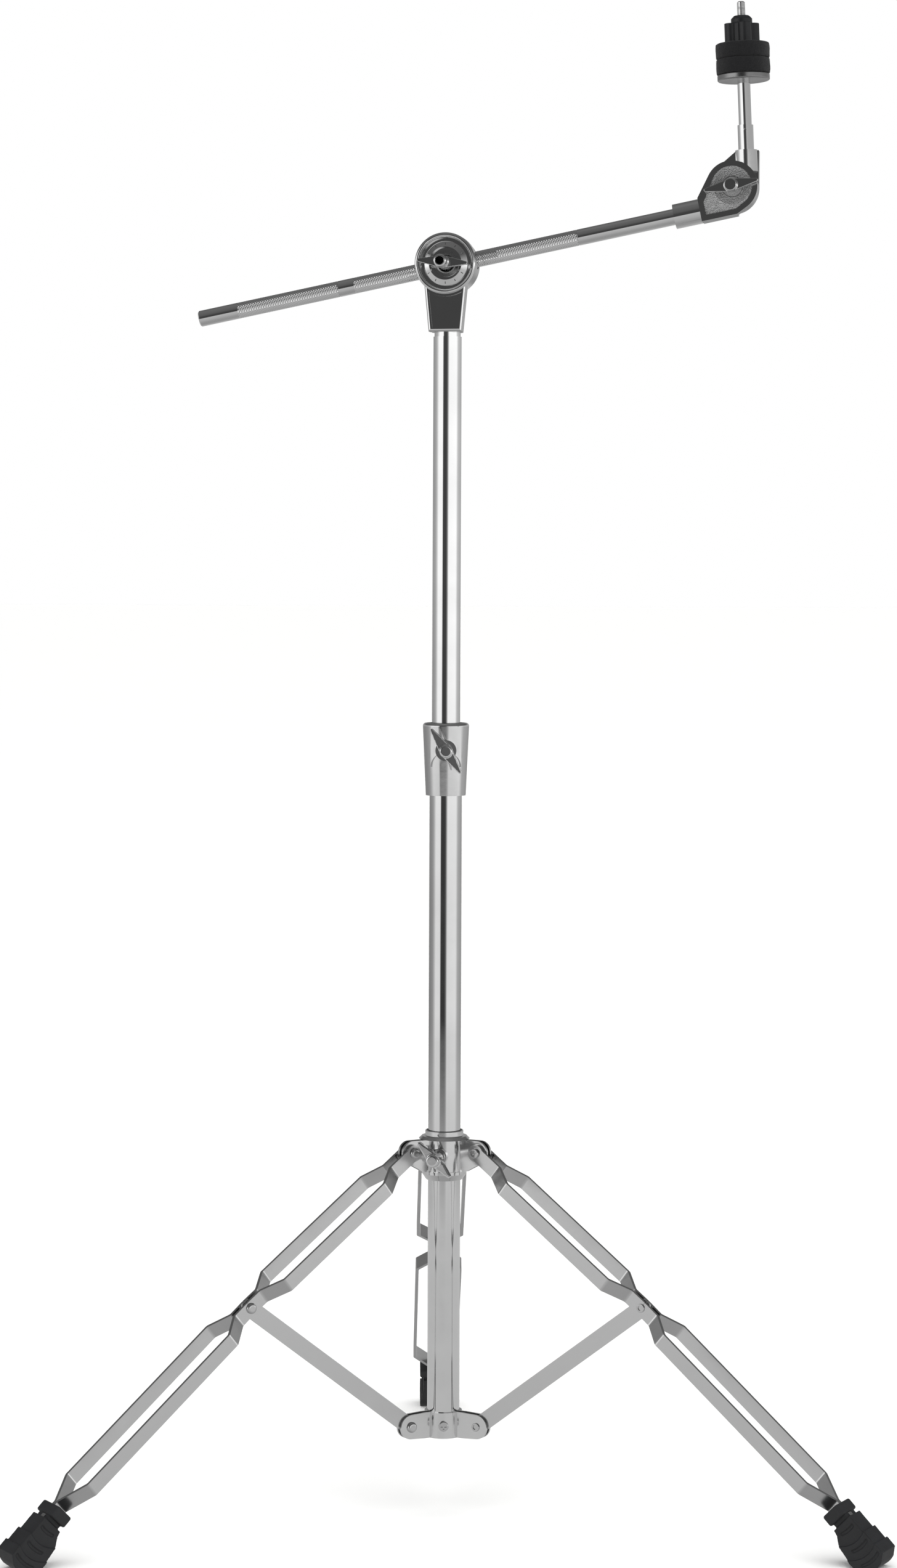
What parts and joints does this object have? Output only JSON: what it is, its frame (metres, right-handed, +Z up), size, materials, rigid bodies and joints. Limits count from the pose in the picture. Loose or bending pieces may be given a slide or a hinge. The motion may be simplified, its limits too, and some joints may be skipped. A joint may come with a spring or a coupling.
{
  "type": "cymbal boom stand",
  "caption": "Chrome cymbal boom stand: folding braced tripod, telescoping mast, tilting and sliding boom, and a felted cymbal seat.",
  "frame": {"origin": "on the mast axis at floor level", "axes": "+Z up along the mast; +X the way the boom and cymbal seat point; -Y the front, where the tilter wing nuts face"},
  "size_m": [0.6536, 0.6254, 1.1828],
  "materials": {
    "mast_chrome": "polished chrome plate",
    "cast_chrome": "polished chrome plate on castings",
    "wing_chrome": "polished chrome plate",
    "hardware_steel": "bright zinc plate",
    "stamped_chrome": "chrome plate on stampings",
    "strip_steel": "satin-bright plate",
    "foot_rubber": "matt black rubber",
    "black_nylon": "black nylon",
    "black_felt": "pressed felt"
  },
  "bodies": {
    "mast": {"lower_tube": "mast_chrome", "height_collar": "cast_chrome", "base_plate_1": "stamped_chrome", "base_plate_2": "stamped_chrome", "base_plate_3": "stamped_chrome", "base_screws": "hardware_steel", "base_rivets": "hardware_steel"},
    "collar_bolt": {"collar_wing_bolt": "wing_chrome"},
    "mast_bush": {"collar_bush": "black_nylon"},
    "upper_mast": {"upper_tube": "mast_chrome", "tilter_stem": "cast_chrome", "tilter_dial_ring": "cast_chrome"},
    "boom_clamp": {"boom_clamp_drum": "cast_chrome", "boom_eye_bolt": "hardware_steel", "boom_spring": "hardware_steel", "boom_washer": "hardware_steel"},
    "boom_nut": {"boom_wing_nut": "wing_chrome"},
    "boom_grip": {"boom_liner": "black_nylon"},
    "boom": {"boom_rod": "mast_chrome", "rod_sleeve": "mast_chrome", "seat_lower_arm": "cast_chrome", "seat_bolt": "hardware_steel", "seat_washer": "hardware_steel"},
    "seat_tilter_nut": {"seat_wing_nut": "wing_chrome"},
    "seat_arm": {"seat_upper_arm": "cast_chrome", "spindle_sleeve": "mast_chrome", "spindle": "mast_chrome", "cup_washer": "cast_chrome", "seat_sleeve": "black_nylon", "felt_lower": "black_felt"},
    "top_felt": {"felt_upper": "black_felt"},
    "top_nut": {"seat_nut": "black_nylon"},
    "hub": {"hub_bush": "black_nylon", "hub_top_ring": "cast_chrome", "hub_bottom_ring": "cast_chrome", "hub_plate_1": "stamped_chrome", "hub_plate_2": "stamped_chrome", "hub_plate_3": "stamped_chrome", "hub_pivot_screws": "hardware_steel", "hub_boss": "cast_chrome"},
    "hub_bolt": {"hub_wing_bolt": "wing_chrome"},
    "leg_1": {"leg_1_left_strip": "strip_steel", "leg_1_right_strip": "strip_steel", "leg_1_rivet": "hardware_steel", "leg_1_foot": "foot_rubber"},
    "brace_1": {"brace_1": "strip_steel"},
    "leg_2": {"leg_2_left_strip": "strip_steel", "leg_2_right_strip": "strip_steel", "leg_2_rivet": "hardware_steel", "leg_2_foot": "foot_rubber"},
    "brace_2": {"brace_2": "strip_steel"},
    "leg_3": {"leg_3_left_strip": "strip_steel", "leg_3_right_strip": "strip_steel", "leg_3_rivet": "hardware_steel", "leg_3_foot": "foot_rubber"},
    "brace_3": {"brace_3": "strip_steel"}
  },
  "joints": [
    {"name": "collar_bolt_turn", "type": "hinge", "parent": "mast", "child": "collar_bolt", "pos_m": [0, 0, 0.59694], "axis": [0.1564, -0.9877, 0], "range_deg": [0, 270]},
    {"name": "mast_swivel", "type": "hinge", "parent": "mast", "child": "mast_bush", "pos_m": [0, 0, 0.59694], "axis": [0, 0, 1], "continuous": true},
    {"name": "mast_extend", "type": "slide", "parent": "mast_bush", "child": "upper_mast", "axis": [0, 0, 1], "range_m": [-0.3, 0.12]},
    {"name": "boom_tilt", "type": "hinge", "parent": "upper_mast", "child": "boom_clamp", "pos_m": [0, 0, 0.97894], "axis": [0, -1, 0], "range_deg": [-55, 48]},
    {"name": "boom_nut_turn", "type": "hinge", "parent": "boom_clamp", "child": "boom_nut", "pos_m": [0, -0.042, 0.97894], "axis": [0, -1, 0], "range_deg": [0, 270]},
    {"name": "boom_roll", "type": "hinge", "parent": "boom_clamp", "child": "boom_grip", "pos_m": [0, 0.0072, 0.97894], "axis": [0.9799, 0, 0.1994], "continuous": true},
    {"name": "boom_extend", "type": "slide", "parent": "boom_grip", "child": "boom", "axis": [0.9799, 0, 0.1994], "range_m": [-0.14, 0.175]},
    {"name": "seat_nut_turn", "type": "hinge", "parent": "boom", "child": "seat_tilter_nut", "pos_m": [0.22381, -0.0198, 1.03754], "axis": [0, -1, 0], "range_deg": [0, 270]},
    {"name": "seat_tilt", "type": "hinge", "parent": "boom", "child": "seat_arm", "pos_m": [0.22381, 0.0072, 1.03754], "axis": [0, -1, 0], "range_deg": [-80, 35]},
    {"name": "felt_lift", "type": "slide", "parent": "seat_arm", "child": "top_felt", "axis": [-0.0401, 0, 0.9992], "range_m": [0, 0.008]},
    {"name": "top_nut_turn", "type": "hinge", "parent": "top_felt", "child": "top_nut", "pos_m": [0.23079, 0.0072, 1.15005], "axis": [-0.0401, 0, 0.9992], "range_deg": [0, 2880]},
    {"name": "hub_slide", "type": "slide", "parent": "mast", "child": "hub", "axis": [0, 0, 1], "range_m": [0, 0.1421]},
    {"name": "hub_bolt_turn", "type": "hinge", "parent": "hub", "child": "hub_bolt", "pos_m": [0, 0, 0.27877], "axis": [-0.0645, -0.9979, 0], "range_deg": [0, 270]},
    {"name": "leg_1_fold", "type": "hinge", "parent": "hub", "child": "leg_1", "pos_m": [-0.00554, 0.0305, 0.28177], "axis": [-0.9839, -0.1788, 0], "range_deg": [0, 49.1]},
    {"name": "brace_1_fold", "type": "hinge", "parent": "mast", "child": "brace_1", "pos_m": [-0.00554, 0.0305, 0.06694], "axis": [0.9839, 0.1788, 0], "range_deg": [0, 49.1]},
    {"name": "leg_2_fold", "type": "hinge", "parent": "hub", "child": "leg_2", "pos_m": [-0.02364, -0.02005, 0.28177], "axis": [0.6468, -0.7627, 0], "range_deg": [0, 49.1]},
    {"name": "brace_2_fold", "type": "hinge", "parent": "mast", "child": "brace_2", "pos_m": [-0.02364, -0.02005, 0.06694], "axis": [-0.6468, 0.7627, 0], "range_deg": [0, 49.1]},
    {"name": "leg_3_fold", "type": "hinge", "parent": "hub", "child": "leg_3", "pos_m": [0.02919, -0.01045, 0.28177], "axis": [0.3371, 0.9415, 0], "range_deg": [0, 49.1]},
    {"name": "brace_3_fold", "type": "hinge", "parent": "mast", "child": "brace_3", "pos_m": [0.02919, -0.01045, 0.06694], "axis": [-0.3371, -0.9415, 0], "range_deg": [0, 49.1]}
  ],
  "couplings": [
    {"joint": "felt_lift", "follows": "top_nut_turn", "m_per_rad": 0.00015915},
    {"joint": "leg_1_fold", "follows": "hub_slide", "rad_per_m": 6.0307},
    {"joint": "brace_1_fold", "follows": "hub_slide", "rad_per_m": 6.0307},
    {"joint": "leg_2_fold", "follows": "hub_slide", "rad_per_m": 6.0307},
    {"joint": "brace_2_fold", "follows": "hub_slide", "rad_per_m": 6.0307},
    {"joint": "leg_3_fold", "follows": "hub_slide", "rad_per_m": 6.0307},
    {"joint": "brace_3_fold", "follows": "hub_slide", "rad_per_m": 6.0307}
  ]
}
